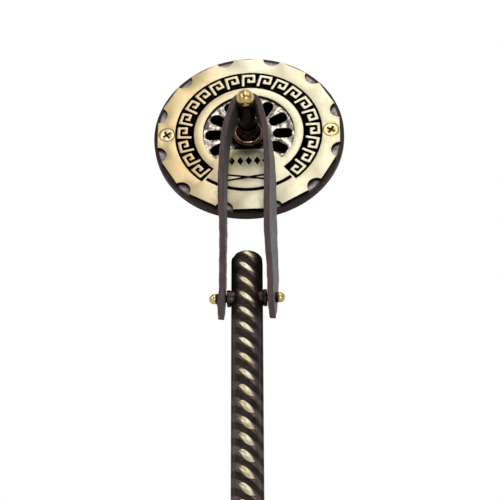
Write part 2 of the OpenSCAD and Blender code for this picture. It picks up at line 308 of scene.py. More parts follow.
class Finish:
    """A material whose nodes are wired up one by one."""

    def __init__(self, name, **sockets):
        self.material = bpy.data.materials.new(name)
        self.material.use_nodes = True
        self.tree = self.material.node_tree
        self.shader = self.tree.nodes["Principled BSDF"]
        self.coords = self.add("ShaderNodeTexCoord").outputs
        self.place = self.coords["Object"]
        for socket, value in sockets.items():
            self.set(socket.replace("_", " "), value)

    def add(self, kind, inputs=(), **settings):
        node = self.tree.nodes.new(kind)
        for key, value in settings.items():
            setattr(node, key, value)
        for key, value in dict(inputs).items():
            self.feed(node.inputs[key], value)
        return node

    def feed(self, socket, value):
        if isinstance(value, bpy.types.NodeSocket):
            self.tree.links.new(value, socket)
        else:
            socket.default_value = value

    def set(self, socket, value):
        self.feed(self.shader.inputs[socket], value)

    def noise(self, scale, detail=3, roughness=0.55, stretch=None):
        """Noise between 0 and 1; stretch scales the pattern along each axis."""
        vector = self.place
        if stretch:
            vector = self.add("ShaderNodeMapping", {"Vector": vector, "Scale": stretch}).outputs[0]
        inputs = {"Vector": vector, "Scale": scale, "Detail": detail, "Roughness": roughness}
        return self.add("ShaderNodeTexNoise", inputs).outputs["Fac"]

    def span(self, value, low, high, to_low=0, to_high=1):
        """Maps a value smoothly from one range to another, and holds it at the ends."""
        inputs = {"Value": value, "From Min": low, "From Max": high, "To Min": to_low,
                  "To Max": to_high}
        node = self.add("ShaderNodeMapRange", inputs, interpolation_type="SMOOTHSTEP")
        return node.outputs[0]

    def math(self, operation, a, b=0.0):
        return self.add("ShaderNodeMath", {0: a, 1: b}, operation=operation).outputs[0]

    def mix(self, factor, a, b):
        inputs = {0: factor, 6: a, 7: b}
        return self.add("ShaderNodeMix", inputs, data_type="RGBA").outputs[2]

    def bump(self, height, distance, strength=1.0, after=None):
        inputs = {"Height": height, "Distance": distance, "Strength": strength}
        if after:
            inputs["Normal"] = after
        return self.add("ShaderNodeBump", inputs).outputs[0]

    def nooks(self, distance):
        """1 in the open and 0 deep in the piece's own corners."""
        node = self.add("ShaderNodeAmbientOcclusion", {"Distance": distance}, samples=8,
                        only_local=True)
        return node.outputs["AO"]

    def attribute(self, name):
        return self.add("ShaderNodeAttribute", attribute_name=name).outputs["Fac"]

    def axes(self):
        return self.add("ShaderNodeSeparateXYZ", {0: self.place}).outputs


def rgb(red, green, blue):
    """A colour given as it looks, 0 to 255, in the renderer's own terms."""
    level = [c / 255 for c in (red, green, blue)]
    linear = [c / 12.92 if c < 0.04045 else ((c + 0.055) / 1.055) ** 2.4 for c in level]
    return (*linear, 1.0)


def cast_brass():
    """Aged cast brass: rubbed bright on its raised faces, grey in the sunk ones.

    A painted reflection turns the raised face golden to the left, painted shade darkens the
    middle round the peg, and dark patina with painted shade fills the plate's own corners.
    """
    f = Finish("cast_brass")
    x, y, z = f.axes()
    height = f.math("MULTIPLY", y, -1)
    radius = f.math("SQRT", f.math("ADD", f.math("MULTIPLY", x, x), f.math("MULTIPLY", z, z)))
    outwards = f.add("ShaderNodeSeparateXYZ", {0: f.coords["Normal"]}).outputs[1]
    facing = f.span(outwards, -0.35, -0.75)
    cloud = f.noise(38, 2, 0.5)
    fine = f.noise(900, 4, 0.7)
    speck = f.noise(300, 3, 0.6)
    on_top = f.span(height, (FLOOR_T + 0.75) * MM, (PLATE_T - 0.12) * MM)
    raised = f.math("MULTIPLY", on_top, facing)
    cream = f.mix(f.span(cloud, 0.3, 0.7), rgb(236, 229, 204), rgb(228, 218, 184))
    golden = f.mix(f.span(cloud, 0.3, 0.7), rgb(230, 208, 162), rgb(212, 184, 132))
    # golden to the left and cream to the right across the raised face: a painted reflection,
    # warmer on the left
    polished_with_painted_reflection = f.mix(f.span(x, -34 * MM, 8 * MM), golden, cream)
    sunk = f.mix(f.span(speck, 0.3, 0.7), rgb(120, 108, 108), rgb(206, 196, 196))
    middle = f.mix(f.span(speck, 0.35, 0.65), rgb(112, 104, 104), rgb(226, 216, 196))
    in_middle = f.span(radius, (CENTRE_R + 0.3) * MM, (CENTRE_R - 0.1) * MM)
    # near black within about 8 mm of the peg: painted shade under the strap's loop
    middle = f.mix(f.span(radius, 8.2 * MM, 10.4 * MM), rgb(20, 15, 13), middle)
    floor = f.mix(in_middle, sunk, middle)
    front = f.math("MULTIPLY", f.span(height, (BASE_T - 0.45) * MM, (BASE_T - 0.1) * MM), facing)
    at_rim = f.math("MULTIPLY", f.span(radius, (PLATE_R - 2.0) * MM, (PLATE_R - 1.2) * MM),
                    f.span(height, (BASE_T + 0.4) * MM, (BASE_T + 0.1) * MM))
    floor = f.mix(front, rgb(58, 47, 45), f.mix(at_rim, floor, rgb(66, 56, 52)))
    walls = f.math("MULTIPLY", f.span(height, (BASE_T + 0.02) * MM, (BASE_T + 0.1) * MM),
                   f.span(facing, 0.9, 0.3))
    colour = f.mix(walls, f.mix(raised, floor, polished_with_painted_reflection), rgb(30, 22, 18))
    # the plate's own corners turn near black and less metallic: dark patina together with painted
    # shade
    clear_of_painted_shade = f.span(f.nooks(0.7 * MM), 0.5, 0.95)
    colour = f.mix(clear_of_painted_shade, rgb(22, 17, 15), colour)
    f.set("Base Color", colour)
    f.set("Metallic", f.span(clear_of_painted_shade, 0.0, 1.0, 0.2, 1.0))
    rough = f.span(fine, 0.3, 0.7, 0.34, 0.44)
    rough_floor = f.mix(in_middle, (0.5, 0.5, 0.5, 1), (0.2, 0.2, 0.2, 1))
    f.set("Roughness", f.mix(raised, rough_floor, rough))
    hammered = f.add("ShaderNodeTexVoronoi", {"Vector": f.place, "Scale": 420},
                     feature="SMOOTH_F1").outputs["Distance"]
    relief = f.mix(in_middle, speck, hammered)
    relief = f.mix(raised, relief, f.math("MULTIPLY", fine, 0.04))
    f.set("Normal", f.bump(relief, 0.6 * MM, 0.6))
    return f.material


def yellow_brass(name, light, deep, roughness, scratch=0.05):
    """Turned brass with faint clouding and fine scratches, near black in its own corners and
    recesses as painted shade.
    """
    f = Finish(name, Metallic=1.0)
    cloud = f.noise(160, 4, 0.6)
    grain = f.noise(700, 5, 0.7, stretch=(1, 6, 1))
    colour = f.mix(f.span(cloud, 0.3, 0.7), rgb(*light), rgb(*deep))
    # the piece's own corners and recesses, such as the screws' cross, go near black: painted shade
    clear_of_painted_shade = f.span(f.nooks(1.0 * MM), 0.3, 0.8)
    f.set("Base Color", f.mix(clear_of_painted_shade, rgb(28, 20, 12), colour))
    f.set("Roughness", f.span(grain, 0.3, 0.7, roughness, roughness + 0.14))
    f.set("Normal", f.bump(grain, scratch * MM, 0.35))
    return f.material


def dark_metal(name, deep, light, roughness, grain_mm=0.06):
    """Blackened metal, a little lighter where it is rubbed and darker in its own corners as
    painted shade.
    """
    f = Finish(name, Metallic=1.0)
    cloud = f.noise(230, 4, 0.65)
    grain = f.noise(1300, 4, 0.7)
    # the piece's own corners keep the deep colour: painted shade
    open_ = f.span(f.nooks(1.2 * MM), 0.35, 0.9)
    rubbed = f.math("MULTIPLY", open_, f.span(cloud, 0.35, 0.75))
    f.set("Base Color", f.mix(rubbed, rgb(*deep), rgb(*light)))
    f.set("Roughness", f.span(grain, 0.3, 0.7, roughness, roughness + 0.18))
    f.set("Normal", f.bump(grain, grain_mm * MM, 0.5))
    return f.material


def bell_copper():
    """Blackened copper, with a painted highlight round the collar's foot."""
    f = Finish("dark_copper", Metallic=1.0)
    height = f.math("MULTIPLY", f.axes()[1], -1)
    cloud = f.noise(260, 4, 0.65)
    foot = -collar_high.y
    # pale patches round the collar's foot: a painted highlight from the light below
    lightened = f.math("MULTIPLY", f.span(height, (foot + 1.5) * MM, (foot + 1.0) * MM),
                  f.span(cloud, 0.3, 0.6))
    dark = f.mix(f.span(cloud, 0.35, 0.75), rgb(22, 12, 11), rgb(70, 42, 36))
    f.set("Base Color", f.mix(lightened, dark, rgb(246, 206, 176)))
    f.set("Roughness", f.span(f.noise(1300, 4, 0.7), 0.3, 0.7, 0.06, 0.2))
    f.set("Normal", f.bump(f.noise(420, 3, 0.6), 0.15 * MM, 0.5))
    return f.material


def ribbed_steel():
    """Browned bar: almost black in the grooves, with a bright lens on each rib's crest.

    The lens is partly rubbed wear and partly a painted highlight, the darker sides are a painted
    reflection, and painted shade fills the bar's own corners.
    """
    f = Finish("ribbed_steel")
    x, _, z = f.axes()
    run = f.attribute("run")
    cloud = f.noise(300, 4, 0.65)
    grain = f.noise(1500, 5, 0.75)
    lengthwise = f.math("SUBTRACT", run, f.math("FLOOR", f.math("ADD", run, 0.5)))
    lengthwise = f.math("MULTIPLY", lengthwise, RIB_PITCH)
    down = f.span(z, -0.112, -0.150)
    lengthwise = f.math("SUBTRACT", lengthwise, f.math("MULTIPLY", down, 0.35))
    # the lens keeps to the front of the bar and widens lower down, as a highlight does
    side = f.math("DIVIDE", f.math("SUBTRACT", x, 0.05 * MM), 3.1 * MM)
    half = f.math("MULTIPLY", f.math("SUBTRACT", 1.0, f.math("MULTIPLY", side, side)),
                  f.span(down, 0, 1, 1.2, 1.75))
    # a dull streak through the lens, on its left side and low on the bar, where the painted
    # highlight splits in two
    off_streak = f.math("ABSOLUTE", f.math("ADD", lengthwise, 0.35))
    streak = f.math("MULTIPLY", f.span(off_streak, 0.5, 0.1), f.span(side, 0.15, -0.5))
    streak = f.math("MULTIPLY", streak, down)
    ragged = f.span(f.noise(700, 3, 0.6), 0.2, 0.8, -0.07, 0.07)
    lens = f.math("SUBTRACT", half, f.math("ABSOLUTE", lengthwise))
    # bright lens on each rib: rubbed wear together with a painted highlight
    lightened = f.span(f.math("ADD", lens, ragged), -0.06, 0.12)
    # the bar's own corners go near black: painted shade
    nooks = f.span(f.nooks(1.6 * MM), 0.45, 0.95)
    on_rib = f.span(f.math("ABSOLUTE", lengthwise), 2.1, 1.3)
    rib = f.mix(f.span(cloud, 0.3, 0.72), rgb(92, 74, 68), rgb(134, 114, 108))
    groove = f.mix(f.span(cloud, 0.3, 0.72), rgb(34, 25, 24), rgb(62, 49, 47))
    # darker towards the bar's sides, more so high up: a painted dark reflection
    outside = f.math("MULTIPLY", f.span(f.math("ABSOLUTE", x), 2.6 * MM, 4.6 * MM),
                     f.span(down, 0, 1, 0.85, 0.35))
    dark = f.mix(outside, f.mix(on_rib, groove, rib), rgb(40, 30, 29))
    dark = f.mix(nooks, rgb(16, 12, 10), dark)
    bright = f.mix(f.span(cloud, 0.35, 0.7), rgb(252, 244, 218), rgb(222, 202, 150))
    bright = f.mix(f.math("MULTIPLY", streak, 0.75), bright, rgb(120, 98, 66))
    f.set("Base Color", f.mix(lightened, dark, bright))
    f.set("Metallic", f.span(lightened, 0, 1, 0.75, 1.0))
    f.set("Roughness", f.mix(lightened, f.span(grain, 0.3, 0.7, 0.36, 0.55), (0.36, 0.36, 0.36, 1)))
    f.set("Normal", f.bump(grain, 0.1 * MM, 0.5))
    return f.material


def blade_steel():
    """Pressed steel, browned like the bar, with its hollow rubbed by use."""
    f = Finish("blade_steel")
    rub = f.attribute("rub")
    cloud = f.noise(70, 5, 0.6, stretch=(1, 1, 0.35))
    lines = f.noise(900, 4, 0.7, stretch=(1, 1, 0.02))
    ragged = f.math("ADD", rub, f.span(cloud, 0.25, 0.75, -0.45, 0.45))
    lightened = f.span(ragged, 0.25, 0.95)
    dark = f.mix(f.span(cloud, 0.3, 0.7), rgb(50, 41, 37), rgb(92, 78, 68))
    f.set("Base Color", f.mix(lightened, dark, f.mix(cloud, rgb(214, 200, 170), rgb(164, 148, 124))))
    f.set("Metallic", 1.0)
    f.set("Roughness", f.span(lines, 0.3, 0.7, 0.26, 0.44))
    f.set("Normal", f.bump(lines, 0.05 * MM, 0.4))
    return f.material


def brown_leather():
    """Vegetable-dyed leather, greyer on its faces and fibrous on its cut edges, with painted shade
    on its inside face at the top of the loop.
    """
    f = Finish("brown_leather", Metallic=0.0)
    cut = f.attribute("cut")
    outer = f.attribute("outer")
    cloud = f.noise(120, 4, 0.6)
    grain = f.add("ShaderNodeTexVoronoi", {"Vector": f.place, "Scale": 1300},
                  feature="SMOOTH_F1").outputs["Distance"]
    fibres = f.noise(900, 5, 0.75, stretch=(1, 1, 0.12))
    # the inside face is near black at the top of the loop and lighter lower down: painted shade
    # inside the loop
    below_peg = f.span(f.axes()[2], -0.014, -0.042)
    inside = f.mix(below_peg, rgb(12, 9, 9), rgb(72, 56, 60))
    face = f.mix(outer, inside, rgb(104, 98, 102))
    face = f.mix(f.span(cloud, 0.3, 1.3, 0.0, 0.4), face, rgb(92, 78, 82))
    edge = f.mix(f.span(fibres, 0.3, 0.7), rgb(66, 49, 50), rgb(98, 76, 77))
    f.set("Base Color", f.mix(cut, face, edge))
    f.set("Roughness", f.span(cloud, 0.3, 0.7, 0.5, 0.68))
    f.set("Specular IOR Level", 0.35)
    f.set("Sheen Weight", 0.12)
    grained = f.bump(f.mix(cut, grain, fibres), 0.22 * MM, 0.6)
    f.set("Normal", f.bump(cloud, 0.6 * MM, 0.5, after=grained))
    return f.material


CAST = cast_brass()
SCREW = yellow_brass("screw_brass", (244, 230, 186), (222, 196, 130), 0.24)
GOLD = yellow_brass("polished_brass", (244, 226, 166), (220, 186, 112), 0.07, 0.02)
COPPER_WASHER = yellow_brass("copper_washer", (132, 92, 74), (70, 44, 36), 0.2)
BELL_COPPER = bell_copper()
BLACK = dark_metal("black_steel", (20, 16, 15), (58, 48, 45), 0.26)
WORN_STEEL = dark_metal("worn_steel", (30, 24, 23), (108, 96, 93), 0.2)
PLAIN_STEEL = dark_metal("plain_steel", (112, 110, 108), (176, 174, 170), 0.28)
RIBBED = ribbed_steel()
BLADE = blade_steel()
LEATHER = brown_leather()

# ---------------------------------------------------------------- wall plate


def face_outline():
    """Twelve straight sides with a round notch where each two of them would meet."""
    outline = []
    step = 360 / NOTCHES
    for k in range(NOTCHES):
        middle = (k + 0.5) * step
        centre = ((PLATE_R - 0.4) * cos(radians(middle)), (PLATE_R - 0.4) * sin(radians(middle)))
        outline += arc(NOTCH_R, middle + 255, middle + 105, 16, centre)
    return outline


def band_outline():
    """The sunk band that holds the ornament."""
    return arc(BAND_OUT, BAND_FROM, BAND_TO, 94) + arc(BAND_IN, BAND_TO, BAND_FROM, 94)


def slot_outline(angle):
    """Long slot with round ends that points away from the middle."""
    far = arc(SLOT_R, -90, 90, 10, (SLOT_TO, 0))
    near = arc(SLOT_R, 90, 270, 10, (SLOT_FROM, 0))
    return turned_by(far + near, angle)


def middle_outline():
    """The sunk middle: a circle with the banner standing into it from below."""
    return arc(CENTRE_R, -44, 224, 90) + [(-9.6, -9.2), (-8.2, -8.6), (8.2, -8.6), (9.6, -9.2)]


def crossed_bars(length, width, lean):
    """Outline of two thin bars that cross at the origin."""
    c, s = cos(radians(lean)), sin(radians(lean))
    half, w = length / 2, width / 2
    tips = [(half * c + w * s, half * s - w * c), (half * c - w * s, half * s + w * c)]
    right = [(w / s, 0)] + tips
    upper = [(0, w / c)] + [(-x, y) for x, y in reversed(tips)]
    lower_left = [(-x, -y) for x, y in right]
    lower_right = [(-x, -y) for x, y in upper]
    return right + upper + lower_left + lower_right


def hook_outline():
    """One stroke of the running ornament, bent back on itself."""
    w, out, high = 1.15, 2.9, 6
    return [(-out, 0), (-out, high), (out, high), (out, 1.7), (-0.6, 1.7), (-0.6, 3.9),
            (w - 0.6, 3.9), (w - 0.6, 1.7 + w), (out - w, 1.7 + w), (out - w, high - w),
            (w - out, high - w), (w - out, 0)]


def wall_casting():
    """The plate's skin with its raised face, band, middle, slots and banner marks."""
    seats = [(s * SCREW_X, 0) for s in (-1, 1)]
    face, band, middle = face_outline(), band_outline(), middle_outline()
    slots = [slot_outline(a) for a in range(-30, 211, 30)]
    lozenge = [(-1.3, 0), (0, -2.1), (1.3, 0), (0, 2.1)]
    lozenges = [moved_by(lozenge, 3.5 * i, -14.4) for i in range(-2, 3)]
    bars = moved_by(crossed_bars(19, 0.9, 9), 0, -22.6)
    groove = arc(29.5, -127.5, -52.5, 24) + arc(28.0, -52.5, -127.5, 24)
    peg_hole = ring_of(PEG_BORE_R, 24)
    seat_rings = [ring_of(3.4, 32, seat) for seat in seats]
    seat_holes = [ring_of(2.0, 24, seat) for seat in seats]
    regions = [([ring_of(PLATE_R, 144), face], BASE_T),
               ([face, band, middle, groove, bars] + lozenges + seat_rings, PLATE_T),
               ([band], FLOOR_T),
               ([middle, peg_hole] + slots, FLOOR_T),
               ([groove], PLATE_T - 0.7),
               ([bars], PLATE_T - 0.5)]
    regions += [([mark], PLATE_T - 0.5) for mark in lozenges]
    regions += [([slot], 1.0) for slot in slots]
    regions += [([ring, hole], 3.0) for ring, hole in zip(seat_rings, seat_holes)]
    bm = stack(regions)
    soften(bm, 0.32, lambda p: p.z > PLATE_T - 0.01, 3)
    soften(bm, 0.4, lambda p: abs(p.z - BASE_T) < 0.01 and hypot(p.x, p.y) > PLATE_R - 0.3, 3)
    soften(bm, 0.3, lambda p: abs(p.z - FLOOR_T) < 0.01 and hypot(p.x, p.y) < CENTRE_R - 1)
    soften(bm, 1.9, lambda p: p.z < 0.01 and hypot(p.x, p.y) < 2.5, 1)
    return bm


def ornament():
    """The band's running ornament, one hook after another."""
    margin = 1.2
    step = (BAND_TO - BAND_FROM - 2 * margin) / HOOKS
    parts = []
    for i in range(HOOKS):
        angle = BAND_FROM + margin - 90 + (i + 0.5) * step
        outline = turned_by(moved_by(fillet(hook_outline(), 0.45, 3, closed=True), 0, 24), angle)
        parts.append(stack([([outline], PLATE_T)], FLOOR_T - 0.3))
        soften(parts[-1], 0.24, lambda p: p.z > PLATE_T - 0.01)
    return joined(*parts)


def build_plate():
    bm = joined(wall_casting(), ornament())
    onto_wall(bm)
    piece("wall_casting", bm, "hanger", CAST, ["wall_plate"],
          flat=lambda f: abs(f.normal.y) > 0.995)


# ---------------------------------------------------------------- screws and peg


def screw_shank(radius, top, tip):
    """Threaded shank from top down to its point at tip, heights above the wall."""
    pitch, steps = 1.5, 16
    turns = round((top - tip) / pitch)
    root = radius - 0.55
    profile = [(root, 0), (root, 0.5), (radius, 0.72), (radius, 0.82), (root, 1.05), (root, pitch)]
    bm = bmesh.new()
    bmesh.ops.spin(bm, geom=half_section(bm, profile), cent=(0, 0, 0), axis=(0, 0, 1),
                   angle=2 * pi * turns, dvec=(0, 0, pitch / steps), steps=steps * turns,
                   use_merge=False)
    bmesh.ops.remove_doubles(bm, verts=bm.verts, dist=MERGE)
    point = 5.0
    for vert in bm.verts:
        vert.co.z += tip - 0.5 * pitch
        taper = min(1, max(0.04, (vert.co.z - tip) / point))
        vert.co.x *= taper
        vert.co.y *= taper
    cap_ends(bm)
    bmesh.ops.recalc_face_normals(bm, faces=bm.faces)
    return bm


def screw_head(radius, top):
    """Flat head with a cross recess."""
    bar, w = 1.9, 0.45
    cross = [(w, w), (w, bar), (-w, bar), (-w, w), (-bar, w), (-bar, -w), (-w, -w), (-w, -bar),
             (w, -bar), (w, -w), (bar, -w), (bar, w)]
    cross = turned_by(fillet(cross, 0.2, 2, closed=True), 45)
    bm = stack([([ring_of(radius, 48), cross], top), ([cross], top - 1.3)], top - 1.9)
    soften(bm, 0.35, lambda p: p.z > top - 0.01 and hypot(p.x, p.y) > 2.5, 3)
    soften(bm, 0.12, lambda p: p.z > top - 0.01 and hypot(p.x, p.y) < 2.5, 2)
    return bm


def build_wall_screws():
    parts = []
    for side in (-1, 1):
        head = screw_head(SCREW_HEAD_R - CLEAR, PLATE_T + 0.05)
        screw = joined(head, screw_shank(SCREW_R, PLATE_T - 1.5, -screws_high.y))
        turn(screw, 12 * side, "Z")
        move(screw, x=side * SCREW_X)
        parts.append(screw)
    bm = joined(*parts)
    onto_wall(bm)
    piece("wall_screw_pair", bm, "hanger", SCREW, ["wall_screws"],
          flat=lambda f: abs(f.normal.y) > 0.99)


def build_peg():
    """Washer, bell-shaped collar, sleeve and ball on the peg's screw."""
    washer = spun(tube_profile(6.4, 2.1, -washer_high.y, -washer_low.y - CLEAR, 0.3), 64)
    onto_wall(washer)
    piece("hub_washer_turned", washer, "hanger", COPPER_WASHER, ["hub_washer"])

    low, high = -collar_high.y, -collar_low.y
    nose_r = (sleeve_high.x - sleeve_low.x) / 2 + 0.7
    rim = arc(0.6, -90, 75, 8, (5.2, low + 0.6))
    bell = arc(5.15, 14, 36, 6, (0, low + 0.95))
    nose = fillet([(nose_r, low + 4.3), (nose_r, high - CLEAR), (2.0, high - CLEAR)], 0.5, 4)
    bore = [(PEG_BORE_R, low + CLEAR)]
    collar = spun(bore + rim + bell + nose + bore, 72)
    onto_wall(collar)
    piece("bell_collar", collar, "hanger", BELL_COPPER, ["hub_collar"])

    low, high = -sleeve_high.y, -sleeve_low.y
    outer = (sleeve_high.x - sleeve_low.x) / 2
    sleeve = spun(tube_profile(outer, PEG_BORE_R, low, high, 0.3), 56)
    onto_wall(sleeve)
    piece("turning_sleeve", sleeve, "sleeve", BLACK, ["peg_sleeve"])

    radius = (ball_high.x - ball_low.x) / 2
    centre = -ball_low.y - radius
    seat = degrees(asin((centre + ball_high.y) / radius))
    outline = arc(radius, -seat, 90, 40, (0, centre))
    ball = spun([(2.0, outline[0][1])] + outline, 72)
    onto_wall(ball)
    cap_ends(ball)
    piece("ball_end", ball, "hanger", GOLD, ["peg_ball"])


# ---------------------------------------------------------------- leather strap

STRAP_T = 2.4
STRAP_W = strap_high.y - strap_low.y
STRAP_Y = (strap_high.y + strap_low.y) / 2
BEND_R = 5.5
BEND_Z = strap_high.z - BEND_R - STRAP_T / 2
BEND_STOP = 9
BEND_END = (BEND_R * cos(radians(BEND_STOP)), BEND_Z + BEND_R * sin(radians(BEND_STOP)), 0)
# Middle line of each leg, from the bend to its cut end, as distance from the peg's line, height,
# and by how many degrees its back edge is turned to the right
LEG_LEFT = [BEND_END, (7.2, -6, 1), (8.4, -12, 2), (9.0, -18, 3), (9.7, -31, 3), (9.8, -45, 3),
            (9.5, -56, 1), (9.5, -66, -1), (9.5, -78, -1), (9.7, PIN_Z, -2),
            (10.3, strap_low.z, -2)]
LEG_RIGHT = [BEND_END, (7.2, -6, 4), (8.6, -14, 7), (9.4, -28, 9), (9.4, -45, 11), (9.5, -62, 12),
             (10.1, -78, 9), (9.9, PIN_Z, 5), (9.6, strap_low.z, 1)]


def smooth_line(points, per_span):
    """Points along a smooth line through all those given."""
    line = []
    padded = [points[0]] + points + [points[-1]]
    for a, b, c, d in zip(padded, padded[1:], padded[2:], padded[3:]):
        for k in range(per_span):
            t = k / per_span
            line.append(tuple(0.5 * (2 * q + (r - p) * t + (2 * p - 5 * q + 4 * r - s) * t * t
                                     + (3 * q - p - 3 * r + s) * t ** 3)
                              for p, q, r, s in zip(a, b, c, d)))
    return line + [points[-1]]


def strap_line():
    """The strap's middle line from the left cut end over the peg to the right one."""
    left = [(-x, z, turned) for x, z, turned in reversed(smooth_line(LEG_LEFT, 10))]
    bend = [(x, z, 0) for x, z in arc(BEND_R, 180 - BEND_STOP, BEND_STOP, 24, (0, BEND_Z))[1:-1]]
    return left + bend + smooth_line(LEG_RIGHT, 10)


def strap_section():
    """Outline of the strap across its length, with points close enough for it to bulge."""
    corners = [(-STRAP_T / 2, -STRAP_W / 2), (STRAP_T / 2, -STRAP_W / 2),
               (STRAP_T / 2, STRAP_W / 2), (-STRAP_T / 2, STRAP_W / 2)]
    rounded = fillet(corners, 0.45, 4, closed=True)
    section = []
    for (t0, w0), (t1, w1) in zip(rounded, rounded[1:] + rounded[:1]):
        pieces = max(1, round(hypot(t1 - t0, w1 - w0) / 1.1))
        section += [(t0 + (t1 - t0) * k / pieces, w0 + (w1 - w0) * k / pieces)
                    for k in range(pieces)]
    return section


def build_strap():
    points = strap_line()
    line = [Vector((x, 0, z)) for x, z, _ in points]
    section = strap_section()
    count, last = len(section), len(line) - 1

    def place(u, v):
        i = round(v * last)
        t, w = section[round(u * count) % count]
        here = line[i]
        ahead = (line[min(last, i + 1)] - line[max(0, i - 1)]).normalized()
        out = Vector((-ahead.z, 0, ahead.x))
        angle = radians(points[i][2]) * (1 if here.x > 0 else -1)
        # slight unevenness of the hanging leather, none over the peg
        ripple = (0.06 * sin(i * 0.9 + w) + 0.04 * sin(i * 2.3)) * min(1, abs(here.x) / 5)
        across = t * cos(angle) + w * sin(angle) + ripple
        return here + out * across + Vector((0, STRAP_Y + w * cos(angle) - t * sin(angle), 0))

    bm = grid(count, last, place)
    cut = bm.verts.layers.float.new("cut")
    outer = bm.verts.layers.float.new("outer")
    for index, vert in enumerate(bm.verts):
        t, w = section[index % (count + 1) % count]
        at_end = index // (count + 1) in (0, last)
        vert[cut] = 1 if at_end else min(1, max(0, (abs(w) / STRAP_W * 2 - 0.9) / 0.06))
        vert[outer] = 1 if t > 0 else 0
    close_wrap(bm)
    piece("leather_loop", bm, "loop", LEATHER, ["leather_strap"], sharp=50)


# ---------------------------------------------------------------- cross pin and bush


def onto_pin(bm, side=1):
    """Lays a shape raised along Z along the cross pin, towards one side."""
    turn(bm, 90 * side, "Y")
    move(bm, y=ROD_Y, z=PIN_Z)


def build_pin():
    """Bush through the bar, and on each side a washer and a ball on the pin's end."""
    bush_r = (bush_high.z - bush_low.z) / 2
    half = (bush_high.x - bush_low.x) / 2
    lip = [(PIN_R + 0.08, -half), (bush_r - 0.9, -half), (bush_r - 0.7, -half + 0.35),
           (bush_r - 0.35, -half), (bush_r, -half + 0.35), (bush_r, -half + 1.3),
           (bush_r - 0.25, -half + 1.5)]
    outline = lip + [(r, -h) for r, h in reversed(lip)]
    bush = spun(fillet(outline + outline[:1], 0.18, 3), 56)
    onto_pin(bush)
    piece("rod_bush", bush, "shoehorn", WORN_STEEL, ["cross_bush"])

    for side, word in ((-1, "left"), (1, "right")):
        low, high = box_mm("pin_washer_" + word)
        inner = min(abs(low.x), abs(high.x))
        outer = max(abs(low.x), abs(high.x))
        washer = spun(tube_profile((high.z - low.z) / 2, PIN_R + 0.06, inner, outer, 0.18), 48)
        onto_pin(washer, side)
        piece("thin_washer_" + word, washer, "loop", BLACK, ["pin_washer_" + word])

        low, high = box_mm("pin_ball_" + word)
        radius = (high.z - low.z) / 2
        far = max(abs(low.x), abs(high.x))
        near = min(abs(low.x), abs(high.x))
        seat = degrees(asin(min(1, (far - radius - near) / radius)))
        outline = arc(radius, -seat, 90, 28, (0, far - radius))
        ball = spun([(0, outline[0][1])] + outline, 48)
        onto_pin(ball, side)
        piece("pin_end_" + word, ball, "loop", GOLD, ["pin_ball_" + word])


# ---------------------------------------------------------------- ribbed bar


def rib_rise(offset):
    """Share of a rib's full height at an offset along the bar from the rib's middle."""
    rise = min(1, max(0, (2.0 - abs(offset)) / 0.95))
    return rise * rise * (3 - 2 * rise)


def bar_radius(angle, rise):
    """Radius of the bar's skin: plain seams at its sides, ribs that are tallest front and back."""
    side, front = abs(cos(angle)), abs(sin(angle))
    lean = cos(radians(RIB_ANGLE))
    crest = 1 / sqrt((side / (RIB_R * lean)) ** 2 + (front / RIB_R) ** 2)
    ribbed = ROD_R + max(0, crest - ROD_R) * rise
    from_seam = SEAM_R * front
    t = min(1, max(0, (2.3 - from_seam) / 1.1))
    seam = ROD_R + (SEAM_R - ROD_R) * t * t * (3 - 2 * t)
    return max(ribbed, seam)


def build_rod():
    """Bar with leaning crescent ribs, a domed top and a plain lap behind the blade."""
    top, bottom = rod_high.z, rod_low.z
    dome_h = 3.8
    dome_z = top - 1.6 - dome_h
    first_rib = top - 4.4
    offsets = [-2.05, -1.6, -1.3, -1.0, -0.5, 0.5, 1.0, 1.3, 1.6, 2.05]
    around = 88
    lap_clear = 7.5
    count = int((top + 14 - bottom - lap_clear) / RIB_PITCH)
    # rows above the top are drawn down into the dome
    levels = [(top + 90, 0), (top + 40, 0), (top + 25, 0)]
    for i in range(-2, count):
        levels += [(first_rib - i * RIB_PITCH - o, rib_rise(o)) for o in offsets]
    levels = [(z, h) for z, h in levels if z > bottom + lap_clear] + [(bottom, 0)]
    last = len(levels) - 1
    lap_top = blade_high.z

    def place(u, v):
        z0, rise = levels[round(v * last)]
        angle = 2 * pi * u
        radius = bar_radius(angle, rise)
        level_row = z0 in (levels[-1][0], levels[0][0])
        z = z0 if level_row else z0 - radius * cos(angle) * RIB_LEAN
        above = max(0, z - dome_z)
        scale = 1 / sqrt(1 + (above / dome_h) ** 2)
        cap = min(1, max(0, (z - dome_z + 2.5) / 2.5))
        radius = max(radius, ROD_R + (SEAM_R - ROD_R) * cap)
        depth = ROD_Y - radius * sin(angle) * scale
        if z < lap_top:
            depth = max(depth, ROD_Y)
        return Vector((radius * cos(angle) * scale, depth, dome_z + above * scale if above else z))

    bm = grid(around, last, place)
    run = bm.verts.layers.float.new("run")
    width = around + 1
    for index, vert in enumerate(bm.verts):
        vert[run] = (first_rib - levels[index // width][0]) / RIB_PITCH
    close_wrap(bm)
    piece("ribbed_bar", bm, "shoehorn", RIBBED, ["handle_rod"], sharp=60)


def build_ferrule():
    low, high = ferrule_low.z, ferrule_high.z
    outer = (ferrule_high.x - ferrule_low.x) / 2
    inner = RIB_R + 0.05
    bead = [(inner, low), (outer - 0.35, low), (outer, low + 0.4), (outer, low + 1.5),
            (outer - 0.55, low + 1.9)]
    outline = bead + [(r, low + high - h) for r, h in reversed(bead)]
    bm = spun(fillet(outline + outline[:1], 0.3, 3), 72)
    move(bm, y=ROD_Y)
    piece("joint_ring", bm, "shoehorn", GOLD, ["ferrule"])


# ---------------------------------------------------------------- blade

